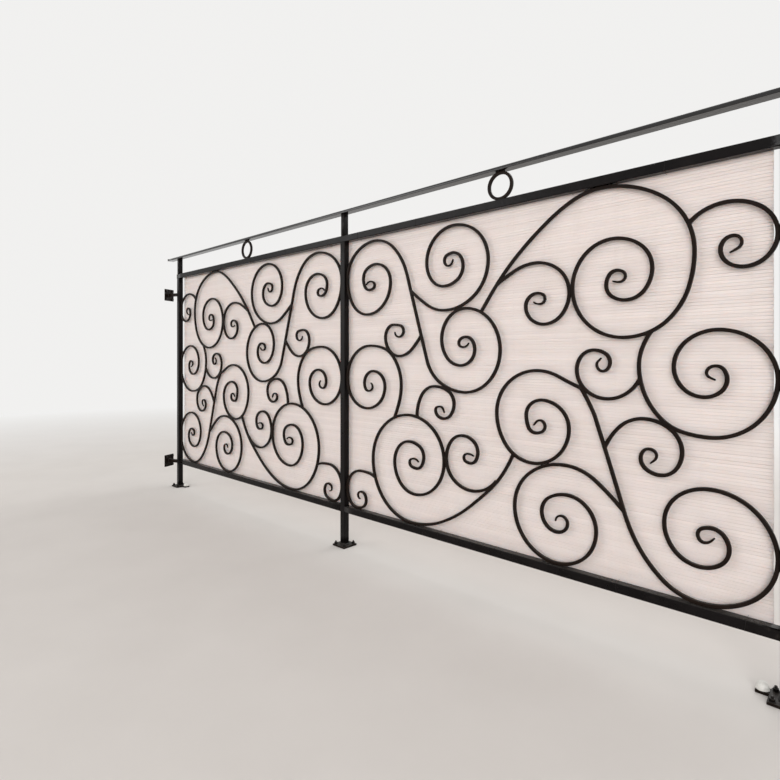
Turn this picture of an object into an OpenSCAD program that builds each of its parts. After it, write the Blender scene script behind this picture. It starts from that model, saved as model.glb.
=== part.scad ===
/* [Frame] */
// Distance between the centres of neighbouring posts
post_pitch = 1700; // [1500:10:1900]
// Side of the square post tube
post_side = 30; // [24:1:40]
// Side of the square tube of the bottom and top rails
rail_side = 30; // [24:1:36]
// Height of the bottom rail's underside over the floor
bottom_gap = 160; // [100:5:240]
// Clear height between the bottom rail and the top rail
panel_h = 1240; // [1100:10:1360]
// Wall of the tubes
tube_wall = 2; // [1.5:0.5:3]

/* [Handrail] */
// Depth of the handrail's tube, from front to back
handrail_depth = 40; // [30:1:60]
// Thickness of the handrail's tube
handrail_h = 15; // [12:1:25]
// How far the handrail reaches past the centre of each end post
handrail_reach = 145; // [60:5:200]
// Width of the stub between the top rail and the handrail, seen from the front
stub_w = 20; // [14:1:24]
// Thickness of the plate that closes an open tube end
cap_t = 3; // [2:0.5:5]

/* [Scrolls] */
// Side of the square bar that the scrolls and rings are bent from
bar = 11; // [8:1:14]
// Width of the bar at the drawn-out tip in a scroll's eye
tip_w = 4; // [3:1:12]
// Length over which the bar narrows to its tip
tip_len = 110; // [30:5:150]
// Outer diameter of the ring between the top rail and the handrail
ring_d = 105; // [80:1:130]

/* [Screen] */
// Thickness of the screen sheets that lie against the back of the frame
screen_t = 6; // [3:1:8]
// How far each screen laps over the backs of the top and bottom rails
screen_lap = 22; // [10:1:24]
// Gap at each side between the screen's outer edge and the end post
screen_margin = 17; // [5:1:40]
// Gap between the two screens behind the middle post
screen_gap = 4; // [2:1:10]

/* [Floor plates] */
// Side of the square plate under each post
base_side = 80; // [70:1:120]
// Thickness of the plate under each post
base_t = 8; // [5:1:12]
// Diameter of the bolt holes in the floor plates
base_hole_d = 9; // [6:1:11]
// Distance between the floor plates' bolt holes
base_hole_pitch = 58; // [52:1:60]
// Reach of an end post's extra anchor lug past the edge of its floor plate
lug_reach = 32; // [20:1:50]
// Width of the anchor lug, from front to back
lug_w = 30; // [22:1:34]
// Distance of the anchor lug's middle behind the post's centre
lug_shift = 17; // [0:1:18]

/* [Wall brackets] */
// Angle between the railing and the wall that it meets
wall_angle = 68; // [60:1:90]
// Length of the square bar from the end post's outer face to the wall plate
arm_len = 85; // [60:1:140]
// Side of the square plate on the wall
wall_plate_side = 80; // [60:1:100]
// Thickness of the plate on the wall
wall_plate_t = 6; // [4:1:10]
// Diameter of the bolt holes in the wall plates
wall_hole_d = 9; // [6:1:11]
// Distance between the wall plates' bolt holes
wall_hole_pitch = 56; // [44:1:58]
// Side of the square bar between the wall plate and the post
arm_side = 20; // [12:1:28]
// Height of the lower wall bracket's centre over the floor
lower_bracket_z = 170; // [120:5:400]
// Distance from the top rail's underside down to the upper wall bracket's centre
upper_bracket_drop = 110; // [60:5:300]

/* [Hidden] */
$fn = 64;

iron = [0.11, 0.11, 0.12];
mat_white = [0.88, 0.86, 0.82];

// Heights of the frame, from the floor up
bottom_rail_z = bottom_gap;
panel_z = bottom_rail_z + rail_side;
top_rail_z = panel_z + panel_h;
ring_band_z = top_rail_z + rail_side;
handrail_z = ring_band_z + ring_d;
upper_bracket_z = top_rail_z - upper_bracket_drop;
panel_w = post_pitch - post_side;
rail_len = 2 * post_pitch + post_side;
handrail_len = 2 * (post_pitch + handrail_reach);
// Extra length by which a cut passes through a face
cut = 1;
// Sides of a bolt hole
hole_sides = 16;

// A bend of less than this turn is a straight bar
straight_turn = 0.3;
// How far a facet of a bend may lie inside its true arc, and the most that it may turn
bend_sag = 1.3;
bend_turn = 30;

// Scrolls of the right bay: points that the bar's centre line passes, as
// [across, up, heading], from the middle of the bay, with 0 heading right and 90 up
s_scroll = [
    [-701, 406, 60], [-676, 419, 0], [-649, 400, -90], [-680, 381, 180],
    [-721, 434, 90], [-643, 493, 0], [-551, 406, -90], [-691, 271, 180],
    [-829, 440, 90], [-650, 598, 0], [-462, 447, -69], [-434, 357, -73],
    [-346, 66, -73], [-160, -57, 0], [-1, 105, 90], [-158, 266, 180],
    [-270, 150, -90], [-178, 46, 0], [-112, 108, 90], [-153, 156, 180],
    [-186, 132, -90], [-165, 117, 0], [-140, 132, 65]
];
upper_scroll = [
    [-434, 357, -40], [-250, 264, 0], [-52, 442, 90], [-210, 594, 180],
    [-347, 462, -90], [-256, 360, 0], [-166, 432, 90], [-214, 487, 180],
    [-256, 461, -90], [-235, 438, 0], [-214, 461, 80]
];
arch_scroll = [
    [-527, -181, 64], [-488, -40, 90], [-534, 79, 131], [-676, 130, 180],
    [-829, -22, -90], [-700, -153, 0], [-585, -50, 90], [-656, 16, 180],
    [-714, -40, -90], [-688, -74, 0], [-662, -55, 90], [-672, -38, 150]
];
root_scroll = [
    [54, -268, -116], [12, -343, -124], [-136, -493, -140], [-430, -614, 180],
    [-658, -375, 90], [-442, -165, 0], [-258, -338, -90], [-412, -493, 180],
    [-526, -370, 90], [-439, -276, 0], [-363, -332, -90], [-402, -384, 180],
    [-440, -362, 90], [-414, -345, 0], [-392, -356, -55]
];
heart_scroll = [
    [302, -22, 158], [148, 32, 180], [-15, -124, -90], [128, -290, 0],
    [262, -160, 90], [165, -69, 180], [105, -124, -90], [141, -184, 0],
    [176, -159, 90], [158, -139, 180], [134, -157, -125]
];
crown_scroll = [
    [-84, 247, 55], [0, 362, 51], [200, 549, 36], [365, 614, 0],
    [635, 380, -90], [572, 194, -133], [440, 139, 180], [274, 305, 90],
    [406, 448, 0], [522, 345, -90], [446, 254, 180], [385, 304, 90],
    [418, 348, 0], [444, 328, -90], [426, 311, 180], [406, 315, 160]
];
side_scroll = [
    [520, 157, -125], [484, 52, -90], [547, -104, -45], [671, -146, 0],
    [829, 20, 90], [692, 154, 180], [581, 50, -90], [658, -34, 0],
    [715, 18, 90], [688, 54, 180], [665, 34, -90], [686, 15, -25]
];
stem_scroll = [
    [300, -18, -56], [341, -92, -64], [360, -145, -72], [440, -398, -73],
    [474, -480, -62], [652, -614, 0], [829, -448, 90], [676, -290, 180],
    [555, -406, -90], [648, -512, 0], [720, -448, 90], [676, -397, 180],
    [643, -421, -90], [659, -441, 0], [684, -424, 55]
];
foot_scroll = [
    [440, -398, 133], [245, -281, 180], [59, -450, -90], [215, -614, 0],
    [353, -480, 90], [255, -379, 180], [164, -450, -90], [218, -509, 0],
    [257, -474, 90], [236, -452, 180], [215, -472, -90]
];
// Small scrolls that branch off the large ones
fork_curl = [
    [-377, 168, -126], [-500, 83, 180], [-581, 165, 90], [-532, 218, 0],
    [-475, 190, -90], [-500, 165, 180], [-524, 186, 85]
];
root_curl = [
    [-399, -170, 92], [-302, -39, 0], [-209, -105, -90], [-262, -166, 180],
    [-301, -134, 90], [-278, -119, 0], [-257, -142, -75]
];
trunk_curl = [
    [-19, -378, -130], [-130, -430, 180], [-247, -322, 90], [-166, -224, 0],
    [-98, -282, -90], [-132, -326, 180], [-162, -307, 90], [-142, -291, 0],
    [-117, -297, -30]
];
crown_curl = [
    [-10, 346, 34], [140, 404, 0], [263, 292, -90], [173, 191, 180],
    [103, 256, 90], [148, 299, 0], [176, 278, -90], [158, 261, 180],
    [134, 269, 140]
];
shoulder_curl = [
    [620, 458, 52], [716, 502, 0], [829, 400, -90], [756, 321, 180],
    [699, 374, 90], [729, 408, 0], [749, 388, -90], [722, 363, -155]
];
side_curl = [
    [487, 14, -115], [385, -53, 180], [289, 38, 90], [346, 101, 0],
    [397, 62, -90], [374, 34, 180], [355, 55, 90], [369, 75, 50]
];
stem_curl = [
    [380, -208, 68], [500, -107, 0], [603, -196, -90], [542, -270, 180],
    [489, -226, 90], [514, -196, 0], [534, -214, -90], [517, -238, -140]
];
corner_curl = [
    [-644, -458, 152], [-734, -442, 180], [-829, -535, -90], [-765, -614, 0],
    [-703, -572, 90], [-732, -537, 180], [-757, -556, -90], [-742, -571, 0]
];

// Spread of the drawn points that brings the outermost bars up to the posts and the rails
spread_x = (panel_w - bar) / 2 / max([for (point = s_scroll) abs(point.x)]);
spread_z = (panel_h - bar) / 2 / max([for (point = root_scroll) abs(point.y)]);

// Angle brought into the range from -180 to 180
function wrap(a) = a - 360 * floor((a + 180) / 360);
// Step of length 1 along a heading
function along(heading) = [cos(heading), sin(heading)];
// Place and heading of a drawn point, spread to fill the panel
function placed(point) = [point.x * spread_x, point.y * spread_z];
function bearing(point) = atan2(spread_z * sin(point.z), spread_x * cos(point.z));
// Point where the two arcs meet that lead from p, heading a, to q, heading b
function meeting(p, a, q, b) =
    let (
        chord = q - p,
        out = along(a),
        in = along(b),
        bend = 1 - out * in,
        pull = chord * (out + in),
        reach = bend < 0.0001
            ? chord * chord / (4 * (chord * in))
            : (sqrt(pull * pull + 2 * bend * (chord * chord)) - pull) / (2 * bend)
    )
    (p + q + reach * (out - in)) / 2;
// Turn of the arc that leaves p at a heading and reaches q
function turn_to(p, heading, q) = 2 * wrap(atan2(q.y - p.y, q.x - p.x) - heading);
// Stops [x, y, heading] along that arc, after p and up to q
function arc_stops(p, heading, q) =
    let (
        turn = turn_to(p, heading, q),
        chord = norm(q - p),
        half = sin(abs(turn) / 2),
        steps = abs(turn) < straight_turn
            ? 1
            : ceil(abs(turn) / min(bend_turn, 2 * acos(1 - bend_sag / (chord / 2 / half))))
    )
    [for (i = [1 : steps])
        let (
            part = turn * i / steps,
            share = i == steps ? 1 : sin(abs(part) / 2) / half,
            stop = p + chord * share * along(heading + part / 2)
        )
        [stop.x, stop.y, heading + part]];
// Stops along the whole bar through a list of drawn points
function bar_stops(points) = [
    [placed(points[0]).x, placed(points[0]).y, bearing(points[0])],
    for (i = [1 : len(points) - 1])
        let (
            p = placed(points[i - 1]),
            a = bearing(points[i - 1]),
            q = placed(points[i]),
            m = meeting(p, a, q, bearing(points[i]))
        )
        each concat(arc_stops(p, a, m), arc_stops(m, a + turn_to(p, a, m), q))
];
// Length of the bar from its start to each stop
function lengths(stops) = [
    for (i = 0, sum = 0; i < len(stops);
        i = i + 1,
        sum = i < len(stops)
            ? sum + norm([stops[i].x - stops[i - 1].x, stops[i].y - stops[i - 1].y])
            : sum)
        sum
];
// Half the width of a bar that is drawn out towards its end, at a length still to go
function half_width(left) = (tip_w + (bar - tip_w) * min(left / tip_len, 1)) / 2;

// Flat bar through a list of drawn points, with its last end drawn out to a tip
module bar_outline(points, both_tips = false) {
    stops = bar_stops(points);
    run = lengths(stops);
    last = len(stops) - 1;
    halves = [for (s = run) half_width(min(run[last] - s, both_tips ? s : tip_len))];
    function edge(i, side) =
        [stops[i].x, stops[i].y] + side * halves[i] * along(stops[i].z + 90);
    polygon(concat(
        [for (i = [0 : last]) edge(i, 1)],
        [for (i = [last : -1 : 0]) edge(i, -1)]
    ));
}

// Bar trimmed where it is welded to the bars that carry it
module welded_bar(points, carriers) {
    linear_extrude(bar, center = true)
        difference() {
            bar_outline(points);
            for (carrier = carriers)
                bar_outline(carrier);
        }
}

// Stands a flat scroll up in the right bay, or mirrored in the left one
module in_bay(side) {
    color(iron)
        mirror([side < 0 ? 1 : 0, 0, 0])
            translate([post_pitch / 2, 0, panel_z + panel_h / 2])
                rotate([90, 0, 0])
                    children();
}

module s_scroll_bar(side) {
    in_bay(side)
        linear_extrude(bar, center = true)
            bar_outline(s_scroll, both_tips = true);
}
module upper_scroll_bar(side) { in_bay(side) welded_bar(upper_scroll, [s_scroll]); }
module arch_scroll_bar(side) { in_bay(side) welded_bar(arch_scroll, [root_scroll]); }
module root_scroll_bar(side) { in_bay(side) welded_bar(root_scroll, [heart_scroll]); }
module heart_scroll_bar(side) { in_bay(side) welded_bar(heart_scroll, [stem_scroll, side_curl]); }
module crown_scroll_bar(side) { in_bay(side) welded_bar(crown_scroll, [s_scroll]); }
module side_scroll_bar(side) { in_bay(side) welded_bar(side_scroll, [crown_scroll]); }
module stem_scroll_bar(side) { in_bay(side) welded_bar(stem_scroll, [side_curl]); }
module foot_scroll_bar(side) { in_bay(side) welded_bar(foot_scroll, [stem_scroll, heart_scroll]); }

// The small scrolls, which touch only the large ones
module small_scroll_bars(side) {
    in_bay(side) {
        welded_bar(fork_curl, [s_scroll, arch_scroll]);
        welded_bar(root_curl, [root_scroll, s_scroll]);
        welded_bar(trunk_curl, [root_scroll]);
        welded_bar(crown_curl, [crown_scroll]);
        welded_bar(shoulder_curl, [crown_scroll]);
        welded_bar(side_curl, [side_scroll]);
        welded_bar(stem_curl, [stem_scroll, side_scroll]);
        welded_bar(corner_curl, [root_scroll]);
    }
}

// Square or flat tube along Z, open at both ends
module tube(w, d, h) {
    difference() {
        translate([-w / 2, -d / 2, 0]) cube([w, d, h]);
        translate([tube_wall - w / 2, tube_wall - d / 2, -cut])
            cube([w - 2 * tube_wall, d - 2 * tube_wall, h + 2 * cut]);
    }
}

// Tube along X, centred on the middle post, with its underside at z
module lying_tube(length, depth, h, z) {
    translate([-length / 2, 0, z + h / 2])
        rotate([0, 90, 0])
            tube(h, depth, length);
}

module post(place) {
    color(iron)
        translate([place * post_pitch, 0, base_t])
            tube(post_side, post_side, top_rail_z - base_t);
}

// Plate with four bolt holes, lying on the ground plane and centred on Z
module bolted_plate(side, thickness, hole_d, hole_pitch) {
    difference() {
        translate([-side / 2, -side / 2, 0]) cube([side, side, thickness]);
        for (x = [-1, 1], y = [-1, 1])
            translate([x * hole_pitch / 2, y * hole_pitch / 2, -cut])
                cylinder(d = hole_d, h = thickness + 2 * cut, $fn = hole_sides);
    }
}

module base_plate(place) {
    color(iron)
        translate([place * post_pitch, 0, 0])
            bolted_plate(base_side, base_t, base_hole_d, base_hole_pitch);
}

// Floor plate of an end post, with a lug towards the bay for one more anchor
module end_base_plate(side) {
    hole_x = base_side / 2 + lug_reach - lug_w / 2;
    base_plate(side);
    color(iron)
        translate([side * post_pitch, lug_shift, 0])
            mirror([side > 0 ? 1 : 0, 0, 0])
                difference() {
                    translate([base_side / 2, -lug_w / 2, 0]) cube([lug_reach, lug_w, base_t]);
                    translate([hole_x, 0, -cut])
                        cylinder(d = base_hole_d, h = base_t + 2 * cut, $fn = hole_sides);
                }
}

module bottom_rail(side) {
    color(iron)
        translate([side * post_pitch / 2, 0, 0])
            lying_tube(panel_w, rail_side, rail_side, bottom_rail_z);
}

module top_rail() {
    color(iron) lying_tube(rail_len, rail_side, rail_side, top_rail_z);
}

module stub(place) {
    color(iron)
        translate([place * post_pitch, 0, ring_band_z])
            tube(stub_w, rail_side, ring_d);
}

module handrail() {
    color(iron) lying_tube(handrail_len, handrail_depth, handrail_h, handrail_z);
}

// Plates that close the four open ends of the top rail and the handrail
module end_caps() {
    color(iron)
        for (side = [0, 1])
            mirror([side, 0, 0]) {
                translate([rail_len / 2, -rail_side / 2, top_rail_z])
                    cube([cap_t, rail_side, rail_side]);
                translate([handrail_len / 2, -handrail_depth / 2, handrail_z])
                    cube([cap_t, handrail_depth, handrail_h]);
            }
}

module ring(side) {
    color(iron)
        translate([side * post_pitch / 2, 0, ring_band_z + ring_d / 2])
            rotate([90, 0, 0])
                rotate_extrude()
                    translate([ring_d / 2 - bar, -bar / 2])
                        square(bar);
}

// Plate flat on the slanting wall, with an arm square to it that ends on the post's face
module wall_bracket(side, z) {
    color(iron)
        mirror([side < 0 ? 1 : 0, 0, 0])
            translate([post_pitch + post_side / 2, 0, z])
                difference() {
                    rotate([0, 0, wall_angle - 90]) {
                        translate([arm_len, 0, 0])
                            rotate([0, 90, 0])
                                bolted_plate(wall_plate_side, wall_plate_t, wall_hole_d, wall_hole_pitch);
                        translate([-arm_side, -arm_side / 2, -arm_side / 2])
                            cube([arm_side + arm_len, arm_side, arm_side]);
                    }
                    translate([-2 * arm_side, -arm_side, -arm_side])
                        cube(2 * arm_side);
                }
}

// Sheet against the backs of the rails, from behind the middle post almost to the end post
module screen(side) {
    outer_edge = post_pitch - post_side / 2 - screen_margin;
    color(mat_white)
        mirror([side < 0 ? 1 : 0, 0, 0])
            translate([screen_gap / 2, max(post_side, rail_side) / 2, panel_z - screen_lap])
                cube([outer_edge - screen_gap / 2, screen_t, panel_h + 2 * screen_lap]);
}

post(-1);  // left_post
post(0);  // middle_post
post(1);  // right_post
end_base_plate(-1);  // left_base_plate
base_plate(0);  // middle_base_plate
end_base_plate(1);  // right_base_plate
bottom_rail(-1);  // left_bottom_rail
bottom_rail(1);  // right_bottom_rail
top_rail();
stub(-1);  // left_stub
stub(0);  // middle_stub
stub(1);  // right_stub
handrail();
end_caps();
ring(-1);  // left_ring
ring(1);  // right_ring
wall_bracket(-1, upper_bracket_z);  // left_upper_wall_bracket
wall_bracket(-1, lower_bracket_z);  // left_lower_wall_bracket
wall_bracket(1, upper_bracket_z);  // right_upper_wall_bracket
wall_bracket(1, lower_bracket_z);  // right_lower_wall_bracket
screen(-1);  // left_screen
screen(1);  // right_screen
s_scroll_bar(-1);  // left_s_scroll
upper_scroll_bar(-1);  // left_upper_scroll
arch_scroll_bar(-1);  // left_arch_scroll
root_scroll_bar(-1);  // left_root_scroll
heart_scroll_bar(-1);  // left_heart_scroll
crown_scroll_bar(-1);  // left_crown_scroll
side_scroll_bar(-1);  // left_side_scroll
stem_scroll_bar(-1);  // left_stem_scroll
foot_scroll_bar(-1);  // left_foot_scroll
small_scroll_bars(-1);  // left_small_scrolls
s_scroll_bar(1);  // right_s_scroll
upper_scroll_bar(1);  // right_upper_scroll
arch_scroll_bar(1);  // right_arch_scroll
root_scroll_bar(1);  // right_root_scroll
heart_scroll_bar(1);  // right_heart_scroll
crown_scroll_bar(1);  // right_crown_scroll
side_scroll_bar(1);  // right_side_scroll
stem_scroll_bar(1);  // right_stem_scroll
foot_scroll_bar(1);  // right_foot_scroll
small_scroll_bars(1);  // right_small_scrolls
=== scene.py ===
"""Look of the wrought iron balcony railing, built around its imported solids."""
import math
import random

import bmesh
import bpy
import numpy as np
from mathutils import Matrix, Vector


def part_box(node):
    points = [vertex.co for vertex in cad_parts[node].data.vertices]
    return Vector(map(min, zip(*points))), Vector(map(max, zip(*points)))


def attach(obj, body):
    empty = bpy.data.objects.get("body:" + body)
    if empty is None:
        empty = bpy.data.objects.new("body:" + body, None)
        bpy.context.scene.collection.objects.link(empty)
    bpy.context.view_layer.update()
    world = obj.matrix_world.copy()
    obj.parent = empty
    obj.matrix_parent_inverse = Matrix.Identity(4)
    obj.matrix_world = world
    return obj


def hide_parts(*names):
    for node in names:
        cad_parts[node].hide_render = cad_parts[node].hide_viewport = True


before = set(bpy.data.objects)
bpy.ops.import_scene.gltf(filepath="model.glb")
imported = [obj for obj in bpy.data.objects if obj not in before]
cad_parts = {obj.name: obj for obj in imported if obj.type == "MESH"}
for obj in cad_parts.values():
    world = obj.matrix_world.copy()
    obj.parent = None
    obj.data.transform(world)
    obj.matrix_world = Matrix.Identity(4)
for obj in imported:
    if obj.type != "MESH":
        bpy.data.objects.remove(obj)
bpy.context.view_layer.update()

MM = 0.001
SIDES = (("left", -1), ("right", 1))
PLACES = (("left", -1), ("middle", 0), ("right", 1))

# Scrolls of the right bay, as in the solids: points that the bar's centre line passes, as
# (across, up, heading), in millimetres and degrees, from the middle of the bay
SCROLLS = {
    "s_scroll": [
        (-701, 406, 60), (-676, 419, 0), (-649, 400, -90), (-680, 381, 180),
        (-721, 434, 90), (-643, 493, 0), (-551, 406, -90), (-691, 271, 180),
        (-829, 440, 90), (-650, 598, 0), (-462, 447, -69), (-434, 357, -73),
        (-346, 66, -73), (-160, -57, 0), (-1, 105, 90), (-158, 266, 180),
        (-270, 150, -90), (-178, 46, 0), (-112, 108, 90), (-153, 156, 180),
        (-186, 132, -90), (-165, 117, 0), (-140, 132, 65)],
    "upper_scroll": [
        (-434, 357, -40), (-250, 264, 0), (-52, 442, 90), (-210, 594, 180),
        (-347, 462, -90), (-256, 360, 0), (-166, 432, 90), (-214, 487, 180),
        (-256, 461, -90), (-235, 438, 0), (-214, 461, 80)],
    "arch_scroll": [
        (-527, -181, 64), (-488, -40, 90), (-534, 79, 131), (-676, 130, 180),
        (-829, -22, -90), (-700, -153, 0), (-585, -50, 90), (-656, 16, 180),
        (-714, -40, -90), (-688, -74, 0), (-662, -55, 90), (-672, -38, 150)],
    "root_scroll": [
        (54, -268, -116), (12, -343, -124), (-136, -493, -140), (-430, -614, 180),
        (-658, -375, 90), (-442, -165, 0), (-258, -338, -90), (-412, -493, 180),
        (-526, -370, 90), (-439, -276, 0), (-363, -332, -90), (-402, -384, 180),
        (-440, -362, 90), (-414, -345, 0), (-392, -356, -55)],
    "heart_scroll": [
        (302, -22, 158), (148, 32, 180), (-15, -124, -90), (128, -290, 0),
        (262, -160, 90), (165, -69, 180), (105, -124, -90), (141, -184, 0),
        (176, -159, 90), (158, -139, 180), (134, -157, -125)],
    "crown_scroll": [
        (-84, 247, 55), (0, 362, 51), (200, 549, 36), (365, 614, 0),
        (635, 380, -90), (572, 194, -133), (440, 139, 180), (274, 305, 90),
        (406, 448, 0), (522, 345, -90), (446, 254, 180), (385, 304, 90),
        (418, 348, 0), (444, 328, -90), (426, 311, 180), (406, 315, 160)],
    "side_scroll": [
        (520, 157, -125), (484, 52, -90), (547, -104, -45), (671, -146, 0),
        (829, 20, 90), (692, 154, 180), (581, 50, -90), (658, -34, 0),
        (715, 18, 90), (688, 54, 180), (665, 34, -90), (686, 15, -25)],
    "stem_scroll": [
        (300, -18, -56), (341, -92, -64), (360, -145, -72), (440, -398, -73),
        (474, -480, -62), (652, -614, 0), (829, -448, 90), (676, -290, 180),
        (555, -406, -90), (648, -512, 0), (720, -448, 90), (676, -397, 180),
        (643, -421, -90), (659, -441, 0), (684, -424, 55)],
    "foot_scroll": [
        (440, -398, 133), (245, -281, 180), (59, -450, -90), (215, -614, 0),
        (353, -480, 90), (255, -379, 180), (164, -450, -90), (218, -509, 0),
        (257, -474, 90), (236, -452, 180), (215, -472, -90)],
    "fork_curl": [
        (-377, 168, -126), (-500, 83, 180), (-581, 165, 90), (-532, 218, 0),
        (-475, 190, -90), (-500, 165, 180), (-524, 186, 85)],
    "root_curl": [
        (-399, -170, 92), (-302, -39, 0), (-209, -105, -90), (-262, -166, 180),
        (-301, -134, 90), (-278, -119, 0), (-257, -142, -75)],
    "trunk_curl": [
        (-19, -378, -130), (-130, -430, 180), (-247, -322, 90), (-166, -224, 0),
        (-98, -282, -90), (-132, -326, 180), (-162, -307, 90), (-142, -291, 0),
        (-117, -297, -30)],
    "crown_curl": [
        (-10, 346, 34), (140, 404, 0), (263, 292, -90), (173, 191, 180),
        (103, 256, 90), (148, 299, 0), (176, 278, -90), (158, 261, 180),
        (134, 269, 140)],
    "shoulder_curl": [
        (620, 458, 52), (716, 502, 0), (829, 400, -90), (756, 321, 180),
        (699, 374, 90), (729, 408, 0), (749, 388, -90), (722, 363, -155)],
    "side_curl": [
        (487, 14, -115), (385, -53, 180), (289, 38, 90), (346, 101, 0),
        (397, 62, -90), (374, 34, 180), (355, 55, 90), (369, 75, 50)],
    "stem_curl": [
        (380, -208, 68), (500, -107, 0), (603, -196, -90), (542, -270, 180),
        (489, -226, 90), (514, -196, 0), (534, -214, -90), (517, -238, -140)],
    "corner_curl": [
        (-644, -458, 152), (-734, -442, 180), (-829, -535, -90), (-765, -614, 0),
        (-703, -572, 90), (-732, -537, 180), (-757, -556, -90), (-742, -571, 0)],
}
# The bar that each scroll's root is welded to
CARRIERS = {
    "upper_scroll": "s_scroll", "arch_scroll": "root_scroll", "root_scroll": "heart_scroll",
    "heart_scroll": "side_curl", "crown_scroll": "s_scroll", "side_scroll": "crown_scroll",
    "stem_scroll": "side_curl", "foot_scroll": "stem_scroll", "fork_curl": "s_scroll",
    "root_curl": "root_scroll", "trunk_curl": "root_scroll", "crown_curl": "crown_scroll",
    "shoulder_curl": "crown_scroll", "side_curl": "side_scroll", "stem_curl": "stem_scroll",
    "corner_curl": "root_scroll",
}


# Paths of the bent bars

def step(heading):
    """Step of length 1 along a heading in degrees."""
    return np.array([math.cos(math.radians(heading)), math.sin(math.radians(heading))])


def wrap(angle):
    """Angle brought into the range from -180 to 180."""
    return angle - 360 * math.floor((angle + 180) / 360)


def meeting(p, a, q, b):
    """Point where the two arcs meet that lead from p, heading a, to q, heading b."""
    chord, out, into = q - p, step(a), step(b)
    bend = 1 - out @ into
    pull = chord @ (out + into)
    if bend < 0.0001:
        reach = chord @ chord / (4 * (chord @ into))
    else:
        reach = (math.sqrt(pull * pull + 2 * bend * (chord @ chord)) - pull) / (2 * bend)
    return (p + q + reach * (out - into)) / 2


def turn_to(p, heading, q):
    """Turn of the arc that leaves p at a heading and reaches q."""
    return 2 * wrap(math.degrees(math.atan2(q[1] - p[1], q[0] - p[0])) - heading)


def arc_stops(p, heading, q, most_turn=4.5, most_step=9.0):
    """Stops (x, y, heading) along that arc, after p and up to q."""
    turn = turn_to(p, heading, q)
    chord = np.linalg.norm(q - p)
    half = math.sin(math.radians(abs(turn) / 2))
    straight = abs(turn) < 0.3
    arc = chord if straight else chord * math.radians(abs(turn) / 2) / half
    count = max(1, math.ceil(max(abs(turn) / most_turn, arc / most_step)))
    stops = []
    for i in range(1, count + 1):
        part = turn * i / count
        share = i / count if straight else math.sin(math.radians(abs(part) / 2)) / half
        x, y = p + chord * share * step(heading + part / 2)
        stops.append((x, y, heading + part))
    return stops


def spread(point):
    """Drawn point, spread as in the solids so that the outermost bars reach the posts and the rails."""
    x, y, heading = point
    along = step(heading) * (SPREAD_X, SPREAD_Z)
    return x * SPREAD_X, y * SPREAD_Z, math.degrees(math.atan2(along[1], along[0]))


def bar_path(points):
    """Stops (x, y, heading) of a bar through its drawn points."""
    points = [spread(point) for point in points]
    stops = [points[0]]
    for (x0, y0, a), (x1, y1, b) in zip(points, points[1:]):
        p, q = np.array([x0, y0], float), np.array([x1, y1], float)
        m = meeting(p, a, q, b)
        stops += arc_stops(p, a, m)
        stops += arc_stops(m, a + turn_to(p, a, m), q)
    return np.array(stops, float)


def run_of(path):
    """Length along a path at each of its stops."""
    return np.concatenate([[0], np.cumsum(np.linalg.norm(np.diff(path[:, :2], axis=0), axis=1))])


# Skins

class Skin:
    """Vertices in millimetres and faces, gathered from several closed shapes."""

    def __init__(self):
        self.points, self.faces, self.count = [], [], 0

    def loft(self, rings, loop=False):
        """Adds a skin over rings that each hold the same number of points."""
        rings = np.asarray(rings, float)
        many, size = rings.shape[:2]
        start = self.count
        self.points.append(rings.reshape(-1, 3))
        self.count += many * size
        for i in range(many if loop else many - 1):
            j = (i + 1) % many
            for k in range(size):
                m = (k + 1) % size
                self.faces.append((start + i * size + k, start + i * size + m,
                                   start + j * size + m, start + j * size + k))
        if not loop:
            self.faces.append(tuple(range(start + size - 1, start - 1, -1)))
            self.faces.append(tuple(range(start + (many - 1) * size, start + many * size)))

    def piece(self, name, material, nodes=()):
        """Makes the object, which rides on the frame and stands for the named nodes."""
        mesh = bpy.data.meshes.new(name)
        mesh.from_pydata((np.concatenate(self.points) * MM).tolist(), [], self.faces)
        bm = bmesh.new()
        bm.from_mesh(mesh)
        bmesh.ops.recalc_face_normals(bm, faces=bm.faces)
        bm.to_mesh(mesh)
        bm.free()
        mesh.polygons.foreach_set("use_smooth", [True] * len(mesh.polygons))
        mesh.materials.append(material)
        obj = bpy.data.objects.new(name, mesh)
        bpy.context.scene.collection.objects.link(obj)
        obj.modifiers.new("even_shading", "WEIGHTED_NORMAL")
        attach(obj, "root")
        if nodes:
            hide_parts(*nodes)


def rounded_rectangle(half_w, half_d, radius, arc=2, top_radius=None):
    """Outline of a rectangle with rounded corners, each in arc steps; top_radius is for those at +d."""
    radius = min(radius, half_w, half_d)
    points = []
    for corner, (sw, sd) in enumerate(((1, 1), (-1, 1), (-1, -1), (1, -1))):
        bend = top_radius if top_radius and sd > 0 else radius
        for i in range(arc + 1):
            turn = math.radians(90 * corner + 90 * i / arc)
            points.append((sw * (half_w - bend) + bend * math.cos(turn),
                           sd * (half_d - bend) + bend * math.sin(turn)))
    return np.array(points)


def placed(rings, side):
    """Rings drawn in the right bay, in millimetres from its middle, put into a bay."""
    rings = np.array(rings, float)
    rings[..., 0] = side * (rings[..., 0] + BAY_X)
    rings[..., 2] += BAY_Z
    return rings


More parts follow.
